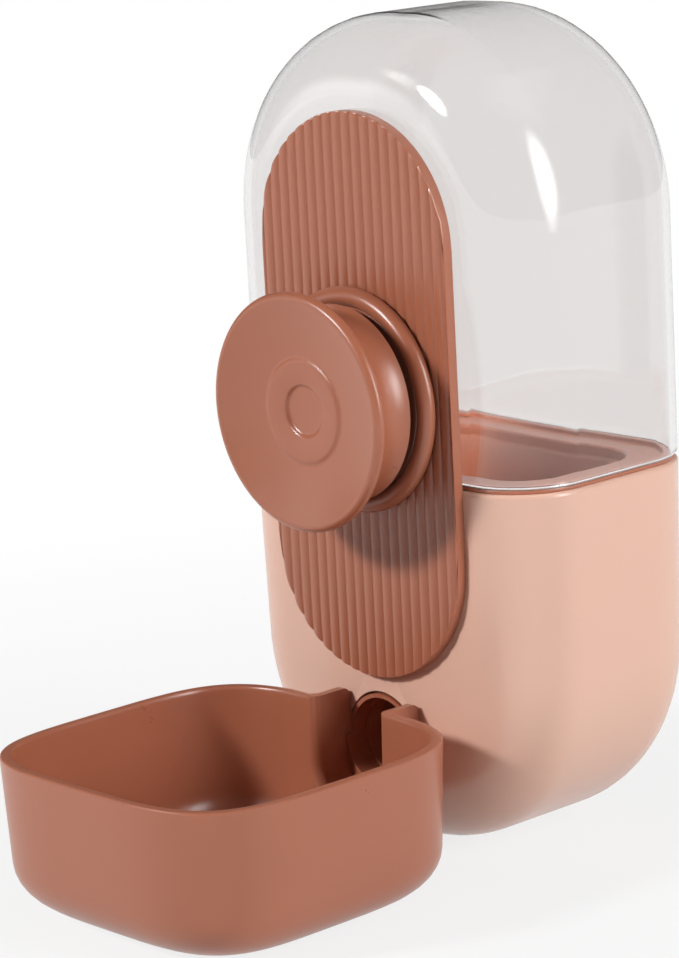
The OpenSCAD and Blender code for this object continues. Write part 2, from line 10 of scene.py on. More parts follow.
import json
import logging
import math
from dataclasses import dataclass, field, replace
from enum import Enum

import bmesh
import bpy
from mathutils import Matrix, Vector


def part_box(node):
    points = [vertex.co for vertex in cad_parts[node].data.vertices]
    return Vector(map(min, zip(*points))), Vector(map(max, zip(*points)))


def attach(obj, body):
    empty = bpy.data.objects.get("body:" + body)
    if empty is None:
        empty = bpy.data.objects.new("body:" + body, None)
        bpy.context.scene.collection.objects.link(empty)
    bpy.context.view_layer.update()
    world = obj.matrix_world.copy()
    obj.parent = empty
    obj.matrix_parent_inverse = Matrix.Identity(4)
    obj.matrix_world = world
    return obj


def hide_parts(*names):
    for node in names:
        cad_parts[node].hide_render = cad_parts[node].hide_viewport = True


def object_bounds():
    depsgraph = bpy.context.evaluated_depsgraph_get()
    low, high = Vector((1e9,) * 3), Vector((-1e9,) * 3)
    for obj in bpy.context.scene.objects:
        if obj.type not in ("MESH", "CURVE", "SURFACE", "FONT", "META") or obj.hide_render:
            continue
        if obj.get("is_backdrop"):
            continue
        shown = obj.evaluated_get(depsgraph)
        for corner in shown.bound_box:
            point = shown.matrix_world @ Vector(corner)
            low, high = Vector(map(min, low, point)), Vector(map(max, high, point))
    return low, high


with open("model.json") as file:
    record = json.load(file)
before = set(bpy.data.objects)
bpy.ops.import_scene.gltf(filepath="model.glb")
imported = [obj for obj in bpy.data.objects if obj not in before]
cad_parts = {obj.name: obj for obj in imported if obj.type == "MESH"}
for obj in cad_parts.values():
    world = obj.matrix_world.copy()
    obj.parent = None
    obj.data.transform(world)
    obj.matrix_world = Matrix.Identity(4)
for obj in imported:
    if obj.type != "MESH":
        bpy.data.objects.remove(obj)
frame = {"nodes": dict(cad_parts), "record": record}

LOG = logging.getLogger("scene")
MM = 0.001


class Body(str, Enum):
    """Names of the frame's moving bodies that carry a moulding."""

    BASE = "base"
    JAW = "jaw"
    KNOB = "knob"
    BOWL = "bowl"
    TANK = "tank"


class Slot(str, Enum):
    """Material slots of the record."""

    BLUSH = "blush_plastic"
    TERRACOTTA = "terracotta_plastic"
    CLEAR = "clear_plastic"
    STEEL = "steel"
    BRASS = "brass"
    MILKY = "milky_plastic"
    SILICONE = "silicone"


# --- finishes


@dataclass(frozen=True)
class Finish:
    """A moulded or metal surface.

    Attributes:
        slot: Record slot that the finish dresses.
        colour: Linear base colour.
        roughness: Mean roughness.
        spread: Amount by which roughness varies.
        tone: Amount by which the colour varies.
        grain: Size of the fine surface grain, in metres.
        bump: Depth of that grain, in metres.
        edge: Strength of the paler tone on sharp edges, a painted highlight.
        metallic: 1 for bare metal.
        brushed: Stretch of the grain across the piece's axis.
        clear: Share of light that passes through.
        ior: Index of refraction.
    """

    slot: Slot
    colour: tuple
    roughness: float
    spread: float = 0.06
    tone: float = 0.05
    grain: float = 0.0006
    bump: float = 0.000004
    edge: float = 0.12
    metallic: float = 0.0
    brushed: float = 1.0
    clear: float = 0.0
    ior: float = 1.54


FINISHES = (
    Finish(Slot.TERRACOTTA, (0.390, 0.130, 0.070), 0.30, tone=0.02),
    Finish(Slot.BLUSH, (0.750, 0.465, 0.360), 0.26, spread=0.015, tone=0.006, edge=0.10),
    Finish(Slot.STEEL, (0.56, 0.56, 0.58), 0.28, spread=0.12, metallic=1.0, brushed=9.0, edge=0.2),
    Finish(Slot.BRASS, (0.62, 0.45, 0.19), 0.26, spread=0.12, metallic=1.0, brushed=9.0, edge=0.2),
    Finish(Slot.MILKY, (0.80, 0.80, 0.77), 0.42, tone=0.03),
    Finish(Slot.SILICONE, (0.80, 0.74, 0.71), 0.35, tone=0.04, grain=0.0009, clear=0.85),
)

# Painted shade: the grey of the clear plastic's colour darkens the shell as its surroundings would.
# The real shell is clear.
CLEAR_FINISH = Finish(Slot.CLEAR, (0.87, 0.855, 0.85), 0.04, spread=0.025, grain=1 / 60,
                      bump=0.00003, clear=1.0, ior=1.49)
PANE = (0.86, 0.86, 0.86, 1.0)
FLOW_SCALE = 22.0
SHEEN_AND_GLOSS_SCALE = 90.0
GRAIN_SHARE = 0.35
EDGE_FROM, EDGE_TO = 0.53, 0.62
TONE_REACH = 2.2
EDGE_LIFT = 0.4


class Nodes:
    """Small helper that adds and links shader nodes in a tree."""

    def __init__(self, tree: bpy.types.NodeTree):
        """Keeps the tree and starts at its left."""
        self.tree = tree
        self.column = 0

    def add(self, kind: str, label: str, **settings) -> bpy.types.Node:
        """Adds a node.

        Args:
            kind: Type of the node, without ShaderNode before it.
            label: Name shown on the node.
            settings: Attributes, and for inputs a value, or the node or output to link.

        Returns:
            The new node.
        """
        full = kind if kind.startswith("NodeGroup") else "ShaderNode" + kind
        node = self.tree.nodes.new(full)
        node.label = label
        node.location = (self.column * 180, 0)
        self.column += 1
        for key, value in settings.items():
            if not key.startswith("in_"):
                setattr(node, key, value)
                continue
            name = key[3:].replace("_", " ")
            socket = node.inputs[name if name in node.inputs else int(name)]
            if isinstance(value, bpy.types.Node):
                value = value.outputs[0]
            if isinstance(value, bpy.types.NodeSocket):
                self.tree.links.new(value, socket)
            else:
                socket.default_value = value
        return node

    def rays(self, *kinds: str) -> bpy.types.NodeSocket:
        """Adds nodes that give 1 for any of some kinds of ray.

        Args:
            kinds: Outputs of the light path node.

        Returns:
            The output with the answer.
        """
        path = self.add("LightPath", "path")
        answer = path.outputs[kinds[0]]
        for kind in kinds[1:]:
            answer = self.add(
                "Math", "or " + kind, operation="MAXIMUM", in_0=answer,
                in_1=path.outputs[kind]).outputs[0]
        return answer


def fresh_nodes(owner: bpy.types.ID) -> Nodes:
    """Empties the node tree of a material or a world.

    Args:
        owner: The material or world.

    Returns:
        A helper for its tree.
    """
    owner.use_nodes = True
    owner.node_tree.nodes.clear()
    return Nodes(owner.node_tree)


def moulded_surface_group() -> bpy.types.NodeTree:
    """Builds the shared node group that gives tone, roughness and normal.

    Returns:
        The node group, with only value and normal outputs.
    """
    group = bpy.data.node_groups.new("MouldedSurface", "ShaderNodeTree")
    face = group.interface
    for name, default in (("Grain Scale", 1600.0), ("Bump Depth", 0.000004), ("Stretch", 1.0)):
        socket = face.new_socket(name, in_out="INPUT", socket_type="NodeSocketFloat")
        socket.default_value = default
    for name in ("Tone", "Edge", "Gloss"):
        face.new_socket(name, in_out="OUTPUT", socket_type="NodeSocketFloat")
    face.new_socket("Normal", in_out="OUTPUT", socket_type="NodeSocketVector")
    kit = Nodes(group)
    source = kit.add("NodeGroupInput", "in")
    coords = kit.add("TexCoord", "object coordinates")
    stretch = kit.add("CombineXYZ", "stretch", in_X=1.0, in_Z=1.0, in_Y=source.outputs["Stretch"])
    scaled = kit.add(
        "VectorMath", "stretched", operation="MULTIPLY", in_0=coords.outputs["Object"],
        in_1=stretch)
    cloud = kit.add(
        "TexNoise", "moulding flow", in_Scale=FLOW_SCALE, in_Detail=3.0,
        in_Vector=coords.outputs["Object"])
    fine = kit.add(
        "TexNoise", "grain", in_Detail=2.0, in_Roughness=0.6, in_Vector=scaled,
        in_Scale=source.outputs["Grain Scale"])
    # Noise that varies the roughness and breaks up the painted highlight on sharp edges.
    sheen_and_gloss_noise = kit.add(
        "TexNoise", "gloss and painted sheen noise", in_Scale=SHEEN_AND_GLOSS_SCALE, in_Detail=5.0, in_Roughness=0.65,
        in_Vector=coords.outputs["Object"])
    tone = kit.add(
        "Math", "tone", operation="MULTIPLY_ADD", in_1=GRAIN_SHARE, in_0=fine.outputs["Fac"],
        in_2=cloud.outputs["Fac"])
    tone_centre = kit.add(
        "Math", "centred tone", operation="SUBTRACT", in_1=0.5 + 0.5 * GRAIN_SHARE, in_0=tone)
    shape = kit.add("NewGeometry", "shape")
    ramp = kit.add(
        "MapRange", "edges", in_1=EDGE_FROM, in_2=EDGE_TO, in_0=shape.outputs["Pointiness"])
    # Painted highlight: sharp edges get a paler tone, as if they caught the light.
    painted_edge_highlight = kit.add(
        "Math", "painted edge highlight mask", operation="MULTIPLY", in_0=ramp, in_1=sheen_and_gloss_noise.outputs["Fac"])
    gloss = kit.add("Math", "gloss", operation="SUBTRACT", in_1=0.5, in_0=sheen_and_gloss_noise.outputs["Fac"])
    bump = kit.add(
        "Bump", "grain bump", in_Strength=1.0, in_Distance=source.outputs["Bump Depth"],
        in_Height=fine.outputs["Fac"])
    kit.add(
        "NodeGroupOutput", "out", in_Tone=tone_centre, in_Edge=painted_edge_highlight, in_Gloss=gloss,
        in_Normal=bump)
    return group


def start_material(finish: Finish, group: bpy.types.NodeTree) -> tuple:
    """Starts a material with the shared surface and a shader in a plain colour.

    Args:
        finish: The finish to build.
        group: The shared surface group.

    Returns:
        The material, its nodes, the surface node and the shader node.
    """
    material = bpy.data.materials.new("mat_" + finish.slot.value)
    kit = fresh_nodes(material)
    surface = kit.add(
        "Group", "surface", node_tree=group, in_Grain_Scale=1.0 / finish.grain,
        in_Bump_Depth=finish.bump, in_Stretch=finish.brushed)
    rough = kit.add(
        "Math", "roughness", operation="MULTIPLY_ADD", use_clamp=True,
        in_0=surface.outputs["Gloss"], in_1=2 * finish.spread, in_2=finish.roughness)
    shader = kit.add(
        "BsdfPrincipled", "shader", in_Metallic=finish.metallic, in_IOR=finish.ior,
        in_Transmission_Weight=finish.clear, in_Base_Color=finish.colour + (1.0,),
        in_Roughness=rough, in_Normal=surface.outputs["Normal"])
    return material, kit, surface, shader


def opaque_material(finish: Finish, group: bpy.types.NodeTree) -> bpy.types.Material:
    """Builds a plastic, rubber or metal finish with varied tone and paler edges.

    Args:
        finish: The finish to build.
        group: The shared surface group.

    Returns:
        The material.
    """
    material, kit, surface, shader = start_material(finish, group)
    reach = TONE_REACH * finish.tone
    low = tuple(c * (1 - reach) for c in finish.colour) + (1.0,)
    high = tuple(min(1.0, c * (1 + reach)) for c in finish.colour) + (1.0,)
    lift = kit.add(
        "Math", "tone position", operation="ADD", in_1=0.5, in_0=surface.outputs["Tone"])
    shade = kit.add("Mix", "tones", data_type="RGBA", in_6=low, in_7=high, in_Factor=lift)
    # Painted highlight: a paler colour is added on sharp edges.
    painted_sheen_colour = tuple(finish.edge * (EDGE_LIFT + c) for c in finish.colour) + (1.0,)
    pale = kit.add(
        "Mix", "pale edges", data_type="RGBA", blend_type="ADD", in_7=painted_sheen_colour,
        in_Factor=surface.outputs["Edge"], in_6=shade.outputs[2])
    kit.tree.links.new(pale.outputs[2], shader.inputs["Base Color"])
    kit.add("OutputMaterial", "out", in_Surface=shader)
    return material


def clear_material(finish: Finish, group: bpy.types.NodeTree) -> bpy.types.Material:
    """Builds the clear plastic, which shadow rays pass as a tinted pane.

    Args:
        finish: The finish to build.
        group: The shared surface group.

    Returns:
        The material.
    """
    material, kit, _, shader = start_material(finish, group)
    path = kit.add("LightPath", "path")
    pane = kit.add("BsdfTransparent", "pane", in_Color=PANE)
    mix = kit.add(
        "MixShader", "shadow or sight", in_0=path.outputs["Is Shadow Ray"], in_1=shader, in_2=pane)
    kit.add("OutputMaterial", "out", in_Surface=mix)
    return material


# --- mesh kit


class Piece:
    """A mesh object under construction, kept in the frame's axes."""

    def __init__(self, name: str):
        """Starts an empty piece."""
        self.name = name
        self.bm = bmesh.new()

    def grid(self, rows: list, close_rows: bool = False, close_points: bool = False) -> list:
        """Skins a list of rows of points with quads.

        Args:
            rows: Lists of points of equal length.
            close_rows: Joins the last row to the first.
            close_points: Joins the last point of each row to its first.

        Returns:
            The rows as lists of vertices.
        """
        verts = [[self.bm.verts.new(p) for p in row] for row in rows]
        count = len(verts[0])
        for j in range(len(verts) - (0 if close_rows else 1)):
            a, b = verts[j], verts[(j + 1) % len(verts)]
            for i in range(count - (0 if close_points else 1)):
                k = (i + 1) % count
                self.bm.faces.new((a[i], a[k], b[k], b[i]))
        return verts

    def cap(self, rows: list) -> None:
        """Closes the first and the last row with one face each."""
        for row in (rows[0], rows[-1]):
            self.bm.faces.new(row)

    def fold(self, chain: list, crown: int = 14) -> None:
        """Closes an open chain of vertices onto itself, left to right.

        Args:
            chain: Vertices from the right end over the top to the left end.
            crown: Vertices on each side of the top that share one face.
        """
        n = len(chain) - 1
        last = n // 2 - crown
        for i in range(last):
            self.bm.faces.new((chain[i], chain[i + 1], chain[n - i - 1], chain[n - i]))
        self.bm.faces.new(chain[last:n - last + 1])

    def turned(self, profile: list, axis: Vector, steps: int) -> None:
        """Spins a profile about an axis through the origin.

        Args:
            profile: Points (radius, distance along the axis).
            axis: Unit vector of the axis, square to X.
            steps: Number of steps round the axis.
        """
        verts = [self.bm.verts.new(Vector((r, 0, 0)) + axis * f) for r, f in profile]
        edges = [self.bm.edges.new(pair) for pair in zip(verts, verts[1:])]
        bmesh.ops.spin(self.bm, geom=verts + edges, cent=(0, 0, 0), axis=axis, angle=2 * math.pi,
                       steps=steps, use_merge=True)
        bmesh.ops.remove_doubles(self.bm, verts=self.bm.verts, dist=1e-7)

    def bare(self) -> bpy.types.Object:
        """Turns the mesh into an object without a finish.

        Returns:
            The object, with its faces pointing outwards.
        """
        bmesh.ops.recalc_face_normals(self.bm, faces=self.bm.faces)
        mesh = bpy.data.meshes.new(self.name)
        self.bm.to_mesh(mesh)
        self.bm.free()
        obj = bpy.data.objects.new(self.name, mesh)
        bpy.context.scene.collection.objects.link(obj)
        return obj

    def finish(self, slot: Slot, body: Body, materials: dict,
               smooth: float = 40.0) -> bpy.types.Object:
        """Turns the mesh into an object that rides on a body.

        Args:
            slot: Record slot of its finish.
            body: Body that it rides on.
            materials: Materials by slot.
            smooth: Angle in degrees above which an edge stays sharp.

        Returns:
            The object.
        """
        obj = self.bare()
        for polygon in obj.data.polygons:
            polygon.use_smooth = True
        obj.data.set_sharp_from_angle(angle=math.radians(smooth))
        obj.data.materials.append(materials[slot])
        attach(obj, body.value)
        return obj


def arc(cx: float, cy: float, r: float, a0: float, a1: float, steps: int) -> list:
    """Points on an arc.

    Args:
        cx, cy: Centre.
        r: Radius.
        a0, a1: First and last angle, in degrees.
        steps: Number of steps between them.

    Returns:
        Pairs of coordinates, both ends included.
    """
    angles = [math.radians(a0 + (a1 - a0) * i / steps) for i in range(steps + 1)]
    return [(cx + r * math.cos(a), cy + r * math.sin(a)) for a in angles]


def loft(rings: list) -> bpy.types.Object:
    """Makes a closed solid through rings.

    Args:
        rings: Closed sections with the same number of points.

    Returns:
        The solid, as a bare object.
    """
    piece = Piece("loft")
    piece.cap(piece.grid(rings, close_points=True))
    return piece.bare()


def round_bar(r: float, y0: float, y1: float, z: float, steps: int = 96) -> bpy.types.Object:
    """Makes a round bar along Y, with its axis on X = 0.

    Args:
        r: Radius.
        y0, y1: Front and back end.
        z: Level of its axis.
        steps: Number of sides.

    Returns:
        The bar, as a bare object.
    """
    ring = arc(0, z, r, 0, 360 - 360 / steps, steps - 1)
    return loft([[Vector((x, y, zz)) for x, zz in ring] for y in (y0, y1)])


def apply_modifiers(obj: bpy.types.Object) -> None:
    """Replaces an object's mesh by its evaluated copy.

    Args:
        obj: The object, which is left without modifiers.
    """
    graph = bpy.context.evaluated_depsgraph_get()
    graph.update()
    mesh = bpy.data.meshes.new_from_object(obj.evaluated_get(graph), depsgraph=graph)
    old = obj.data
    obj.modifiers.clear()
    obj.data = mesh
    bpy.data.meshes.remove(old)


def combine(obj: bpy.types.Object, other: bpy.types.Object, operation: str) -> None:
    """Runs an exact boolean of two solids, applies it and drops the second.

    Args:
        obj: Object that keeps the result.
        other: Object that is added or cut away.
        operation: UNION or DIFFERENCE.
    """
    step = obj.modifiers.new("combine", "BOOLEAN")
    step.operation = operation
    step.solver = "EXACT"
    step.object = other
    apply_modifiers(obj)
    bpy.data.objects.remove(other, do_unlink=True)


def soften(obj: bpy.types.Object, width: float, segments: int, angle: float = 50.0) -> None:
    """Adds a live bevel and weighted normals to an object made by booleans.

    Args:
        obj: The object.
        width: Width of the bevel.
        segments: Number of its segments.
        angle: Angle in degrees above which an edge is bevelled.
    """
    obj.data.set_sharp_from_angle(angle=math.radians(32))
    bevel = obj.modifiers.new("soft edges", "BEVEL")
    bevel.width = width
    bevel.segments = segments
    bevel.limit_method = "ANGLE"
    bevel.angle_limit = math.radians(angle)
    bevel.profile = 0.5
    bevel.material = -1
    bevel.use_clamp_overlap = True
    weigh_normals(obj)


def weigh_normals(obj: bpy.types.Object) -> None:
    """Lets the larger faces set the shading, so that flat faces look flat."""
    obj.modifiers.new("weighted normals", "WEIGHTED_NORMAL").keep_sharp = True


# --- shells


@dataclass
class ShellShape:
    """Outer shape of the base or of the clear tank.

    Attributes:
        half_w: Half width at the joint.
        y0: Front face.
        depth: Depth, front to back.
        joint: Level of the edge at the joint.
        height: Height from that edge to the far end.
        corner_r: Corner radius seen from the front.
        edge_r: Radius of the long edges.
        lean: Lean of the sides, in radians.
        up: 1 for the tank, -1 for the base.
        lip: Rows near the joint as (distance from it, setback).
    """

    half_w: float
    y0: float
    depth: float
    joint: float
    height: float
    corner_r: float
    edge_r: float
    lean: float
    up: int
    lip: tuple = ()

    def inside(self, wall: float) -> "ShellShape":
        """Moves the shape inwards.

        Args:
            wall: Thickness of the wall.

        Returns:
            The inner shape, with a finer lip.
        """
        return replace(
            self, half_w=self.half_w - wall, y0=self.y0 + wall, depth=self.depth - 2 * wall,
            height=self.height - wall, corner_r=self.corner_r - wall, edge_r=self.edge_r - wall,
            lip=((0.0, -0.3 * MM), (0.1 * MM, -0.1 * MM), (0.3 * MM, 0.0)))

    def stations(self) -> list:
        """Stations from the middle of the front to the middle of the back.

        Returns:
            Tuples (inset, y, normal_x, normal_y).
        """
        r, d = self.edge_r, self.depth
        flat = [self.corner_r * k for k in (0.97, 0.82, 0.66, 0.5)]
        front = [(s, 0.0, 0.0, -1.0) for s in flat if s > r * 1.05]
        for k in range(13):
            t = math.radians(90 * k / 12)
            front.append((r * (1 - math.sin(t)), r * (1 - math.cos(t)), math.sin(t), -math.cos(t)))
        middle = [(0.0, r + (d - 2 * r) * k / 4, 1.0, 0.0) for k in (1, 2, 3)]
        back = [(s, d - y, nx, -ny) for s, y, nx, ny in reversed(front)]
        return [(s, self.y0 + y, nx, ny) for s, y, nx, ny in front + middle + back]

    def chain(self, station: tuple) -> list:
        """Outline at one station, from the right end of the joint to the left.

        Args:
            station: Tuple (inset, y, normal_x, normal_y).

        Returns:
            Points in the frame.
        """
        s, y, nx, ny = station
        h, rc, lean = self.height, self.corner_r, self.lean
        cz = h - rc
        cx = self.half_w - (cz * math.sin(lean) + rc) / math.cos(lean)
        r = rc - s
        tangent = (cx + r * math.cos(lean), cz + r * math.sin(lean))
        along = tangent[1] / math.cos(lean)
        side = list(self.lip)
        start = side[-1][0]
        side += [(start + (along - start) * k, 0.0)
                 for k in (0.004, 0.15, 0.3, 0.45, 0.6, 0.8, 0.992, 1.0)]
        right = []
        for a, b in side:
            x = tangent[0] + (along - a) * math.sin(lean)
            right.append((x - b * nx, y - b * ny, a * math.cos(lean)))
        right += [(x, y, z) for x, z in arc(cx, cz, r, math.degrees(lean), 90, 26)[1:]]
        right.append((cx / 2, y, h - s))
        left = [(-x, yy, z) for x, yy, z in reversed(right)]
        points = right + [(0.0, y, h - s)] + left
        return [Vector((x, yy, self.joint + self.up * z)) for x, yy, z in points]

    def moulding(self, name: str, wall: float) -> Piece:
        """Skins the shell, outside and inside, and closes its rim at the joint.

        Args:
            name: Name of the piece.
            wall: Thickness of the wall.

        Returns:
            The piece.
        """
        piece = Piece(name)
        rims = []
        for shape in (self, self.inside(wall)):
            rows = piece.grid([shape.chain(s) for s in shape.stations()])
            piece.fold(rows[0])
            piece.fold(rows[-1])
            rims.append([row[0] for row in rows] + [row[-1] for row in reversed(rows)])
        outer, inner = rims
        for i in range(len(outer)):
            k = (i + 1) % len(outer)
            piece.bm.faces.new((outer[i], outer[k], inner[k], inner[i]))
        return piece


# --- pieces


@dataclass
class BaseAssembly:
    """Base shell with its front hole and its screw holes."""

    materials: dict
    wall: float = 2.4 * MM
    corner_r: float = 53.5 * MM
    edge_r: float = 20 * MM
    lean: float = math.radians(1.6)
    hole_r: float = 13.6 * MM
    screw_x: float = 13 * MM
    screw_clear: float = 3.1 * MM
    lip: tuple = ((0.0, 1.0 * MM), (0.12 * MM, 0.55 * MM), (0.42 * MM, 0.18 * MM), (1.0 * MM, 0.0))

    def build(self) -> list:
        """Builds the base shell.

        Returns:
            The base moulding, in a list.
        """
        lo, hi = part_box("base_shell")
        seal_lo, seal_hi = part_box("bowl_seal")
        axis_z = (seal_lo[2] + seal_hi[2]) / 2
        shape = ShellShape(
            half_w=(hi[0] - lo[0]) / 2, y0=lo[1], depth=hi[1] - lo[1], joint=hi[2],
            height=hi[2] - lo[2], corner_r=self.corner_r, edge_r=self.edge_r,
            lean=self.lean, up=-1, lip=self.lip)
        piece = shape.moulding("base_moulding", self.wall)
        obj = piece.finish(Slot.BLUSH, Body.BASE, self.materials)
        combine(obj, round_bar(self.hole_r, lo[1] - 9 * MM, lo[1] + 20 * MM, axis_z), "DIFFERENCE")
        for side in (-1, 1):
            hole = Piece("screw_hole")
            place = Matrix.Translation((side * self.screw_x, (lo[1] + hi[1]) / 2, lo[2]))
            bmesh.ops.create_cone(hole.bm, cap_ends=True, segments=48, radius1=self.screw_clear,
                                  radius2=self.screw_clear, depth=12 * MM, matrix=place)
            combine(obj, hole.bare(), "DIFFERENCE")
        soften(obj, 0.35 * MM, 2)
        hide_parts("base_shell")
        return [obj]


@dataclass
class TankAssembly:
    """Clear shell and the floor with its dish, funnel and neck."""

    materials: dict
    wall: float = 2.0 * MM
    corner_r: float = 53.3 * MM
    edge_r: float = 20 * MM
    lip: tuple = ((0.0, 0.9 * MM), (0.12 * MM, 0.5 * MM), (0.4 * MM, 0.16 * MM), (0.95 * MM, 0.0))
    skirt: float = 2.7 * MM
    skirt_h: float = 4 * MM
    rib: float = 2 * MM
    band: float = 1.2 * MM
    plug: float = 2.05 * MM
    plug_h: float = 0.5 * MM
    plug_t: float = 2 * MM
    ledge: float = 12.5 * MM
    dish_r: float = 13 * MM
    dish_drop: float = 3 * MM
    mouth_r: float = 13.4 * MM
    funnel_r: float = 17 * MM
    bore_r: float = 15.1 * MM
    neck_r: float = 16.9 * MM
    corner: int = 6

    def build(self) -> list:
        """Builds the clear shell and the floor, and returns both."""
        return [self.build_shell(), self.build_floor()]

    def build_shell(self) -> bpy.types.Object:
        """Builds the clear shell.

        Returns:
            The clear moulding.
        """
        lo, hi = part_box("clear_tank")
        shape = ShellShape(
            half_w=(hi[0] - lo[0]) / 2, y0=lo[1], depth=hi[1] - lo[1], joint=lo[2],
            height=hi[2] - lo[2], corner_r=self.corner_r, edge_r=self.edge_r,
            lean=0.0, up=1, lip=self.lip)
        piece = shape.moulding("clear_moulding", self.wall)
        obj = piece.finish(Slot.CLEAR, Body.TANK, self.materials)
        weigh_normals(obj)
        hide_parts("clear_tank")
        return obj

    def build_floor(self) -> bpy.types.Object:
        """Builds the floor as one loft of sections, outside and inside.

        Returns:
            The floor moulding.
        """
        neck_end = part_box("tank_floor")[0][2]
        base_lo, base_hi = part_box("base_shell")
        joint, edge = base_hi[2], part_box("clear_tank")[0][2]
        half_w, half_d = (base_hi[0] - base_lo[0]) / 2, (base_hi[1] - base_lo[1]) / 2
        centre_y = base_lo[1] + half_d
        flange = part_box("tank_seal")[0][2]
        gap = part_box("clear_tank")[0][1] - base_lo[1]
        funnel_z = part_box("spring_bridge")[1][2]

        def rounded(inset: float, z: float, front: float = 0.0, r: float = 0.0) -> list:
            """Section of the floor, moved inwards from the body's surface.

            Args:
                inset: Distance inside that surface.
                z: Level.
                front: Further distance at the front.
                r: Corner radius, or 0 for corners that follow the surface.

            Returns:
                Points in the frame.
            """
            r = r or self.edge_r - inset
            w, d = half_w - inset, half_d - inset - front / 2
            y = centre_y + front / 2
            pts = []
            for qx, qy, a in ((1, -1, -90), (1, 1, 0), (-1, 1, 90), (-1, -1, 180)):
                pts += [Vector((px, py, z)) for px, py in
                        arc(qx * (w - r), y + qy * (d - r), r, a, a + 90, self.corner)]
            return pts

        def dish(more: float, z: float) -> list:
            """Section of the dish, moved inwards from its upper edge."""
            return rounded(self.ledge + more, z, r=self.dish_r - more)

        def circle(r: float, z: float) -> list:
            """Circular section with as many points as the others.

            Args:
                r: Radius.
                z: Level.

            Returns:
                Points in the frame.
            """
            count = self.corner + 1
            angles = [math.radians(-90 + 90 * q + 90 * (k + 0.5) / count)
                      for q in range(4) for k in range(count)]
            return [Vector((r * math.cos(a), centre_y + r * math.sin(a), z)) for a in angles]

        def between(a: list, b: list, t: float) -> list:
            """Section part of the way from one section to another."""
            return [p.lerp(q, t) for p, q in zip(a, b)]

        soft = 0.15 * MM
        foot = joint - self.dish_drop
        top = edge + self.plug_h
        inner_mouth, outer_mouth = circle(self.mouth_r, funnel_z), circle(self.funnel_r, funnel_z)
        dish_foot, under_foot = dish(1.2 * MM, foot), dish(-2 * MM, foot - 1.0 * MM)
        rows = [
            # skirt inside the base, then the band in the joint
            rounded(self.skirt, joint - self.skirt_h),
            rounded(self.skirt, joint - 0.05 * MM),
            rounded(self.band + soft, joint + 0.02 * MM),
            rounded(self.band, joint + 0.22 * MM),
            rounded(self.band, flange - 0.22 * MM),
            rounded(self.band + soft, flange),
            # rim that stands up inside the clear shell
            rounded(self.plug, flange, gap),
            rounded(self.plug, top - soft, gap),
            rounded(self.plug + soft, top, gap),
            rounded(self.plug + self.plug_t - soft, top, gap),
            rounded(self.plug + self.plug_t, top - soft, gap),
            rounded(self.plug + self.plug_t, flange + 0.2 * MM, gap),
            rounded(self.plug + self.plug_t + 0.3 * MM, flange, gap),
            # ledge, dish and funnel
            dish(-1.0 * MM, flange),
            dish(-0.4 * MM, flange - 0.15 * MM),
            dish(0.0, flange - 0.7 * MM),
            dish(0.0, foot + 1.4 * MM),
            dish(0.4 * MM, foot + 0.5 * MM),
            dish_foot,
            *(between(dish_foot, inner_mouth, t) for t in (0.25, 0.5, 0.75, 0.94)),
            # neck, inside and outside
            circle(self.mouth_r + 0.5 * MM, funnel_z - 0.6 * MM),
            circle(self.bore_r, funnel_z - 1.4 * MM),
            circle(self.bore_r, neck_end + 0.3 * MM),
            circle(self.bore_r + 0.3 * MM, neck_end),
            circle(self.neck_r - 0.3 * MM, neck_end),
            circle(self.neck_r, neck_end + 0.4 * MM),
            circle(self.neck_r, funnel_z),
            *(between(under_foot, outer_mouth, t) for t in (0.9, 0.6, 0.3)),
            under_foot,
            # underside of the ledge and inside of the skirt
            dish(-2 * MM, joint),
            rounded(self.skirt + self.rib, joint),
            rounded(self.skirt + self.rib, joint - self.skirt_h),
        ]
        piece = Piece("floor_moulding")
        piece.grid(rows, close_rows=True, close_points=True)
        obj = piece.finish(Slot.TERRACOTTA, Body.TANK, self.materials, smooth=50)
        weigh_normals(obj)
        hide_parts("tank_floor")
        return obj


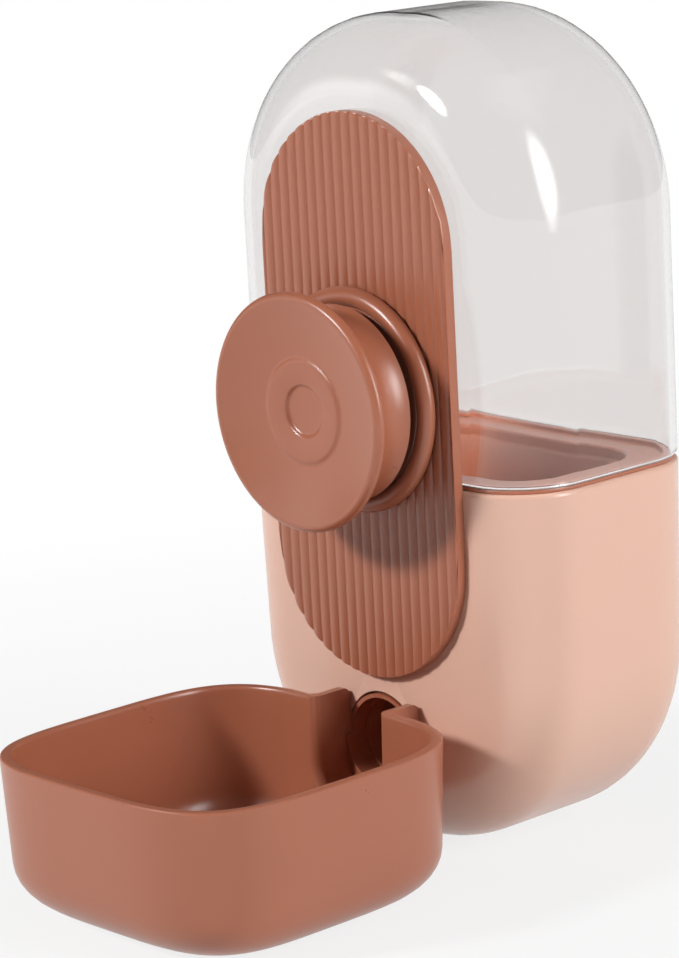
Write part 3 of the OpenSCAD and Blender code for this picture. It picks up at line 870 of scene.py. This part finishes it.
@dataclass
class PlateMoulding:
    """Ribbed plate with a narrow border and a chamfered rim."""

    materials: dict
    pitch: float = 3.54 * MM
    ribs: int = 19
    crest_r: float = 3.5 * MM
    edge: float = 0.45 * MM
    drop: float = 0.3 * MM
    rim: tuple = (0.3 * MM, 0.55 * MM)
    per_rib: int = 10
    levels: int = 24

    def height_at(self, x: float) -> float:
        """Depth of the front face below the crests.

        Args:
            x: Distance from the middle of the plate.

        Returns:
            The depth.
        """
        border = self.ribs * self.pitch / 2
        if abs(x) >= border + self.rim[0]:
            return self.drop
        u = (x + border) / self.pitch
        off = (u - math.floor(u) - 0.5) * self.pitch
        if abs(x) >= border:
            off = self.pitch / 2
        return self.crest_r - math.sqrt(self.crest_r ** 2 - off ** 2)

    def columns(self, half_w: float) -> list:
        """Distances of the plate's columns from its middle.

        Args:
            half_w: Half width of the plate.

        Returns:
            The distances, from left to right.
        """
        border = self.ribs * self.pitch / 2
        xs = [-border + self.pitch * (i + k / self.per_rib)
              for i in range(self.ribs) for k in range(self.per_rib)] + [border]
        outer = [border + r for r in self.rim] + [half_w * 0.99995]
        return [-x for x in reversed(outer)] + xs + outer

    def build(self) -> list:
        """Builds the plate as one strip of columns.

        Returns:
            The plate moulding, in a list.
        """
        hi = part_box("mount_plate")[1]
        half_w, half_h, back = hi[0], hi[2], hi[1]
        rows = []
        for x in self.columns(half_w):
            reach = math.sqrt(max(half_w ** 2 - x * x, 0.0))
            top = half_h - half_w + reach
            face = self.height_at(x)
            outward = Vector((x, 0, reach)).normalized()
            steps = ((0.0, back), (0.0, face + self.edge),
                     (0.3, face + 0.3 * self.edge), (1.0, face))
            upper = []
            for inset, y in steps:
                shift = outward * (inset * self.edge)
                upper.append(Vector((x - math.copysign(abs(shift.x), x), y, top - shift.z)))
            lower = [Vector((p.x, p.y, -p.z)) for p in upper]
            inner = [Vector((x, face, -top + 2 * top * (k / self.levels)))
                     for k in range(1, self.levels)]
            rows.append(lower + inner + upper[::-1])
        piece = Piece("plate_moulding")
        piece.grid(rows, close_points=True)
        open_ends = [edge for edge in piece.bm.edges if edge.is_boundary]
        bmesh.ops.holes_fill(piece.bm, edges=open_ends, sides=0)
        obj = piece.finish(Slot.TERRACOTTA, Body.BASE, self.materials, smooth=38)
        weigh_normals(obj)
        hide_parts("mount_plate")
        return [obj]


@dataclass
class ClampMouldings:
    """Knob with its dished face, and the jaw behind it. Sizes are in mm."""

    materials: dict
    steps: int = 144
    knob_r: float = 31.6
    rim_r: float = 1.7
    rim_f: float = 20.92
    crest: float = 22.62
    chord: float = 29.9
    dish: float = 4.4
    ring: tuple = ((6.35, 0.08), (6.7, 0.34), (7.0, 0.62), (7.5, 0.78), (9.0, 0.82), (11.0, 0.82),
                   (12.8, 0.78), (13.4, 0.6), (13.85, 0.3), (14.3, 0.07))
    waist_r: float = 24.7
    waist_f: float = 11.86
    waist_curve: float = 12.0
    drum_ends: tuple = (18.4, 6.3)
    neck: tuple = ((28.7, 19.26), (27.8, 19.2), (27.1, 18.98))
    skirt: tuple = ((26.16, 6.12), (26.02, 6.05), (25.3, 6.05), (24.9, 6.4), (22.6, 9.5),
                    (22.3, 12.0), (22.3, 14.6), (21.6, 15.4))
    hub: tuple = ((10.0, 15.2), (9.2, 14.6), (9.0, 13.5), (9.0, 0.6), (8.8, 0.4), (6.6, 0.4),
                  (6.43, 0.6), (6.43, 10.4), (4.4, 10.4), (4.4, 15.9), (0.0, 15.9))
    jaw_front: tuple = ((11.85, 0.3), (26.5, 0.3), (29.4, 0.3))
    jaw_lip: tuple = (27.5, 1.5, 2.6)
    jaw_back: tuple = ((24.6, 2.6), (22.0, 2.4), (14.5, 2.4), (13.2, 2.7), (12.8, 3.4),
                       (12.75, 5.6), (12.5, 5.95), (9.4, 5.95), (9.06, 5.6), (9.06, 1.5),
                       (11.6, 1.4), (11.8, 1.2), (11.85, 0.3))

    def knob_profile(self) -> list:
        """Profile of the knob, from the axis over its face and back.

        Returns:
            Points (radius, distance in front of the plate).
        """
        ball = (self.chord ** 2 + self.dish ** 2) / (2 * self.dish)
        plain = [(r, 0.0) for r in (0.0, 2.0, 4.0, 5.4, 6.0)]
        outer = [(r, 0.0) for r in (14.9, 16.5, 18.5, 20.5, 22.5, 24.5, 26.5, 28.0)]
        face = [(r, self.crest - self.dish + lift + ball - math.sqrt(ball ** 2 - r * r))
                for r, lift in plain + list(self.ring) + outer]
        rim = arc(self.knob_r - self.rim_r, self.rim_f, self.rim_r, 105, -90, 14)
        start, end = self.drum_ends
        curve = self.waist_curve
        drum = []
        for k in range(17):
            f = start - (start - end) * k / 16
            drum.append((self.waist_r + curve - math.sqrt(curve ** 2 - (f - self.waist_f) ** 2), f))
        return face + rim + list(self.neck) + drum + list(self.skirt) + list(self.hub)

    def jaw_profile(self) -> list:
        """Profile of the jaw, from its bore over its lip and back.

        Returns:
            Points (radius, distance in front of the plate).
        """
        return list(self.jaw_front) + arc(*self.jaw_lip, -24, 205, 22)[1:-4] + list(self.jaw_back)

    def turned(self, name: str, profile: list, body: Body) -> bpy.types.Object:
        """Builds one round moulding.

        Args:
            name: Name of the piece.
            profile: Points (radius, distance in front of the plate).
            body: Body that it rides on.

        Returns:
            The moulding.
        """
        piece = Piece(name)
        piece.turned([(r * MM, f * MM) for r, f in profile], Vector((0, -1, 0)), self.steps)
        obj = piece.finish(Slot.TERRACOTTA, body, self.materials, smooth=45)
        weigh_normals(obj)
        return obj

    def build(self) -> list:
        """Builds the knob and the jaw.

        Returns:
            Both mouldings.
        """
        obj = self.turned("knob_moulding", self.knob_profile(), Body.KNOB)
        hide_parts("knob_body")
        mouldings = [obj]
        obj = self.turned("jaw_moulding", self.jaw_profile(), Body.JAW)
        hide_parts("clamp_jaw")
        return mouldings + [obj]


@dataclass
class BowlMoulding:
    """Bowl with its open channel and round spigot."""

    materials: dict
    power: float = 4.0
    back: float = -6.9 * MM
    wall: float = 2.7 * MM
    edge_r: float = 12.2 * MM
    lean: float = 1.7 * MM
    plain_from: float = 14.0
    depths: tuple = (22 * MM, 16 * MM, 10 * MM, 5 * MM, 1.2 * MM)
    lip: tuple = ((0.45 * MM, 0.10 * MM), (0.12 * MM, 0.35 * MM), (0.0, 0.9 * MM))
    insets: tuple = (0.93, 0.75, 0.5)
    channel_r: float = 12.2 * MM
    channel_wall: float = 2.3 * MM
    channel_drop: float = 4.6 * MM
    mouth_r: float = 3.0 * MM
    root_r: float = 1.5 * MM
    tip_r: float = 2.4 * MM
    spigot_r: float = 12.9 * MM
    spigot_lip: float = 1.1 * MM
    spigot_wall: float = 2.1 * MM
    spigot_l: float = 9.0 * MM
    clearance: float = 0.3 * MM

    def __post_init__(self) -> None:
        """Reads the sizes that the frame sets."""
        lo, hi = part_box("bowl")
        seal_lo, seal_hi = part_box("bowl_seal")
        self.axis_z = (seal_lo[2] + seal_hi[2]) / 2
        self.low_z = self.axis_z - self.channel_drop
        self.rim, self.height = hi[2], hi[2] - lo[2]
        self.half_w = (hi[0] - lo[0]) / 2
        self.half_d = (self.back - lo[1]) / 2
        self.centre_y = (self.back + lo[1]) / 2
        self.end_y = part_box("base_shell")[0][1] - self.clearance
        self.turns = [math.radians(t) for t in (80, 70, 60, 50, 40, 30, 20, 10, 0)]

    def level(self, depth: float, inset: float) -> list:
        """Outline of the bowl, with a plain stretch at the back.

        Args:
            depth: Depth below the rim.
            inset: Distance inside the outline at the rim.

        Returns:
            Points in the frame.
        """
        ends = (self.plain_from, 20, 26, 31)
        stops = [90 + k for k in ends]
        stops += [s for s in (126 + 4.5 * k for k in range(65)) if s < 417]
        stops += [450 - k for k in reversed(ends)]
        pts = []
        for t in stops:
            c, s = math.cos(math.radians(t)), math.sin(math.radians(t))
            x = (self.half_w - inset) * math.copysign(abs(c) ** (2 / self.power), c)
            y = (self.half_d - inset) * math.copysign(abs(s) ** (2 / self.power), s)
            pts.append(Vector((x, self.centre_y + y, self.rim - depth)))
        return pts

    def side(self, depth: float) -> float:
        """Lean of the wall at a depth."""
        return self.lean * depth / self.height

    def skin_rows(self, wall: float) -> list:
        """Rows of one skin of the bowl, from its rim to its floor.

        Args:
            wall: 0 for the outside, or the wall's thickness for the inside.

        Returns:
            Outlines.
        """
        r, deep = self.edge_r - wall, self.height - wall
        rows = [self.level(d, wall + self.side(d)) for d in reversed(self.depths)]
        for k in range(9):
            t = math.radians(90 * k / 8)
            d = deep - r + r * math.sin(t)
            rows.append(self.level(d, wall + self.side(d) + r * (1 - math.cos(t))))
        return rows + [self.level(deep, self.half_w * k) for k in reversed(self.insets)]

    def ring(self, half: float, deep: float, y: float, top: float, follow: bool = True) -> list:
        """Half round with upright walls at one place along the channel.

        Args:
            half: Half width.
            deep: Radius of the round bottom.
            y: Place along the channel, at the rim.
            top: Level of the open side.
            follow: Whether the ring leans with the bowl's wall.

        Returns:
            Points in the frame.
        """
        bottom = [(x * half, self.low_z + (z - self.low_z) * deep)
                  for x, z in arc(0, self.low_z, 1.0, 0, -180, 40)]
        return [Vector((x, y - (self.side(self.rim - z) if follow else 0.0), z))
                for x, z in [(half, top)] + bottom + [(-half, top)]]

    def add_channel(self, obj: bpy.types.Object, flat: float) -> None:
        """Adds the channel's walls and the spigot.

        Args:
            obj: The bowl.
            flat: Share of the half depth that the plain back stretch cuts off.
        """
        reach = self.channel_r + self.channel_wall
        face = self.back - self.half_d * flat
        outer = [self.ring(reach + self.root_r * (1 - math.cos(self.turns[0])), reach,
                           self.back - 1.2 * MM, self.rim)]
        outer += [self.ring(reach + self.root_r * (1 - math.cos(t)), reach,
                            face + self.root_r * (1 - math.sin(t)), self.rim) for t in self.turns]
        outer.append(self.ring(reach, reach, self.end_y, self.rim, False))
        walls = loft(outer)
        q, y, z = self.tip_r, self.end_y, self.rim
        corner = [(y - q, z + q), (y + q, z + q), (y + q, z - q)] + arc(y - q, z - q, q, 0, 90, 8)
        tips = loft([[Vector((x, cy, cz)) for cy, cz in corner] for x in (-20 * MM, 20 * MM)])
        combine(walls, tips, "DIFFERENCE")
        combine(obj, walls, "UNION")
        spigot = round_bar(self.spigot_r, y - 0.2 * MM, y + self.spigot_l, self.axis_z)
        combine(obj, spigot, "UNION")

    def cut_channel(self, obj: bpy.types.Object, flat: float) -> None:
        """Cuts the channel, then adds its sill and bores the spigot.

        Args:
            obj: The bowl with its channel's walls.
            flat: Share of the half depth that the plain back stretch cuts off.
        """
        rc, w, end = self.channel_r, self.channel_wall, self.end_y
        top = self.rim + 3 * MM
        inner = self.back - self.wall - (self.half_d - self.wall) * flat - 0.05 * MM
        wide = rc + self.mouth_r * (1 - math.cos(self.turns[0]))
        cut = [self.ring(wide, rc, inner - 8 * MM, top)]
        cut += [self.ring(rc + self.mouth_r * (1 - math.cos(t)), rc,
                          inner + self.mouth_r * (1 - math.sin(t)), top) for t in self.turns]
        cut.append(self.ring(rc, rc, end, top, False))
        combine(obj, loft(cut), "DIFFERENCE")
        out = rc + 1 * MM
        sill = [(out, self.axis_z)] + arc(0, self.low_z, out, 0, -180, 40) + [(-out, self.axis_z)]
        ends = (end - w, end + 0.1 * MM)
        combine(obj, loft([[Vector((x, y, z)) for x, z in sill] for y in ends]), "UNION")
        for wall, y0, y1 in (
            (self.spigot_lip, end - w - 3 * MM, end + self.spigot_l / 2),
            (self.spigot_wall, end, end + self.spigot_l + 3 * MM),
        ):
            combine(obj, round_bar(self.spigot_r - wall, y0, y1, self.axis_z), "DIFFERENCE")

    def build(self) -> list:
        """Builds the bowl from lofted rows, then adds and cuts its channel.

        Returns:
            The bowl moulding, in a list.
        """
        rim = [self.level(d, s) for d, s in self.lip]
        rim += [self.level(d, self.wall - s) for d, s in reversed(self.lip)]
        piece = Piece("bowl_moulding")
        rows = self.skin_rows(0.0)[::-1] + rim + self.skin_rows(self.wall)
        piece.cap(piece.grid(rows, close_points=True))
        obj = piece.finish(Slot.TERRACOTTA, Body.BOWL, self.materials)
        flat = 1 - math.cos(math.radians(self.plain_from)) ** (2 / self.power)
        self.add_channel(obj, flat)
        self.cut_channel(obj, flat)
        soften(obj, 0.7 * MM, 3)
        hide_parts("bowl")
        return [obj]


# --- scene


def dress_frame(materials: dict) -> list:
    """Gives the CAD nodes their materials.

    Args:
        materials: Materials by slot.

    Returns:
        Names of the nodes.
    """
    slots = {s["node"]: s["material_slot"] for s in frame["record"]["subparts"]}
    for name, obj in frame["nodes"].items():
        material = materials[Slot(slots[name])]
        if obj.material_slots:
            for place in obj.material_slots:
                place.material = material
        else:
            obj.data.materials.append(material)
    return list(frame["nodes"])


@dataclass(frozen=True)
class SoftBox:
    """A soft light that points at the object.

    Attributes:
        name: Name of the light.
        place: Where it stands.
        size: Width and height.
        watts: Its power before the fade at its edges.
    """

    name: str
    place: tuple
    size: tuple
    watts: float


@dataclass
class Studio:
    """Floor, soft lights and camera."""

    target: Vector = field(default_factory=lambda: Vector((0.0, 0.0, -0.02)))
    lights: tuple = (
        SoftBox("key", (-0.50, -1.31, 0.77), (0.42, 0.42), 85.0),
        SoftBox("left", (-1.35, -1.25, 0.20), (1.4, 1.0), 8.0),
        SoftBox("side", (1.38, 0.30, 0.50), (1.0, 1.6), 78.0),
    )
    paper: float = 0.72
    white_from: float = 0.12
    white_to: float = 0.42
    white_near: float = 0.80
    room: float = 0.10
    lens: float = 131.9
    camera_place: tuple = (0.6631, -0.61336, 0.1797)
    camera_back: tuple = (0.720835, -0.658199, 0.21719)
    camera_up: tuple = (-0.124158, 0.185667, 0.974737)

    def build(self) -> None:
        """Builds the whole studio."""
        self.build_floor()
        self.build_world()
        for box in self.lights:
            self.build_light(box)
        self.build_camera()

    def build_floor(self) -> None:
        """Adds a wide pale floor that shows as white and keeps the shadow."""
        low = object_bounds()[0][2]
        bm = bmesh.new()
        bmesh.ops.create_grid(bm, x_segments=2, y_segments=2, size=6.0)
        bmesh.ops.translate(bm, vec=(0, 0, low - 0.0002), verts=bm.verts)
        mesh = bpy.data.meshes.new("floor")
        bm.to_mesh(mesh)
        bm.free()
        obj = bpy.data.objects.new("floor", mesh)
        bpy.context.scene.collection.objects.link(obj)
        material = bpy.data.materials.new("mat_floor")
        kit = fresh_nodes(material)
        diffuse = kit.add("BsdfDiffuse", "paper", in_Color=(self.paper,) * 3 + (1,))
        glow = kit.add("Emission", "white", in_Color=(1, 1, 1, 1), in_Strength=1.0)
        coords = kit.add("TexCoord", "floor coordinates")
        reach = kit.add(
            "VectorMath", "distance", operation="LENGTH", in_0=coords.outputs["Object"])
        rise = kit.add(
            "MapRange", "white far away", in_1=self.white_from, in_2=self.white_to,
            in_3=self.white_near, in_4=1.0, in_0=reach.outputs["Value"])
        seen = kit.rays("Is Camera Ray", "Is Glossy Ray", "Is Transmission Ray")
        share = kit.add("Math", "share of white", operation="MULTIPLY", in_0=seen, in_1=rise)
        mix = kit.add("MixShader", "paper or white", in_0=share, in_1=diffuse, in_2=glow)
        kit.add("OutputMaterial", "out", in_Surface=mix)
        obj.data.materials.append(material)
        obj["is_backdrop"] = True

    def build_world(self) -> None:
        """Lights the scene evenly and shows a white background."""
        world = bpy.data.worlds.new("studio")
        kit = fresh_nodes(world)
        seen = kit.rays("Is Camera Ray", "Is Transmission Ray")
        soft = kit.add("Background", "room", in_Color=(1, 1, 1, 1), in_Strength=self.room)
        white = kit.add("Background", "backdrop", in_Color=(1, 1, 1, 1), in_Strength=1.0)
        mix = kit.add("MixShader", "room or backdrop", in_0=seen, in_1=soft, in_2=white)
        kit.add("OutputWorld", "out", in_Surface=mix)
        bpy.context.scene.world = world

    def build_light(self, box: SoftBox) -> None:
        """Adds a soft box.

        Args:
            box: The soft box.
        """
        data = bpy.data.lights.new(box.name, "AREA")
        data.shape = "RECTANGLE"
        data.size, data.size_y = box.size
        data.energy = box.watts
        self.fade(data)
        light = bpy.data.objects.new(box.name, data)
        light.location = box.place
        facing = self.target - Vector(box.place)
        light.rotation_euler = facing.to_track_quat("-Z", "Y").to_euler()
        bpy.context.scene.collection.objects.link(light)

    @staticmethod
    def fade(data: bpy.types.Light) -> None:
        """Fades a soft box from its middle to its edges, as a diffuser does.

        Args:
            data: The light.
        """
        data.use_nodes = True
        kit = Nodes(data.node_tree)
        glow = next(n for n in data.node_tree.nodes if n.type == "EMISSION")
        place = kit.add("NewGeometry", "place on the box")
        middle = kit.add(
            "VectorMath", "from the middle", operation="SUBTRACT", in_1=(0.5, 0.5, 0.0),
            in_0=place.outputs["Parametric"])
        reach = kit.add("VectorMath", "distance", operation="LENGTH", in_0=middle)
        fall = kit.add(
            "MapRange", "soft edge", interpolation_type="SMOOTHSTEP", in_1=0.0, in_2=0.5, in_3=1.0,
            in_4=0.0, in_0=reach.outputs["Value"])
        data.node_tree.links.new(fall.outputs[0], glow.inputs["Strength"])

    def build_camera(self) -> None:
        """Places the camera at the viewing angle."""
        data = bpy.data.cameras.new("camera")
        data.sensor_width = 36.0
        data.sensor_fit = "AUTO"
        data.lens = self.lens
        data.clip_start, data.clip_end = 0.05, 20.0
        camera = bpy.data.objects.new("camera", data)
        back = Vector(self.camera_back).normalized()
        right = Vector(self.camera_up).cross(back).normalized()
        turn = Matrix((right, back.cross(right), back)).transposed().to_4x4()
        camera.matrix_world = Matrix.Translation(self.camera_place) @ turn
        bpy.context.scene.collection.objects.link(camera)
        bpy.context.scene.camera = camera


def main() -> None:
    """Builds the dressed object and the studio, and reports each piece."""
    logging.basicConfig(level=logging.INFO)
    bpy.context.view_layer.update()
    group = moulded_surface_group()
    materials = {f.slot: opaque_material(f, group) for f in FINISHES}
    materials[Slot.CLEAR] = clear_material(CLEAR_FINISH, group)
    for name in dress_frame(materials):
        LOG.info("dressed %s", name)
    for maker in (BaseAssembly, TankAssembly, PlateMoulding, ClampMouldings, BowlMoulding):
        for obj in maker(materials).build():
            LOG.info("built %s with %d faces", obj.name, len(obj.data.polygons))
    Studio().build()
    bpy.context.scene.view_settings.view_transform = "Standard"
    bpy.context.view_layer.update()


if __name__ == "__main__":
    main()
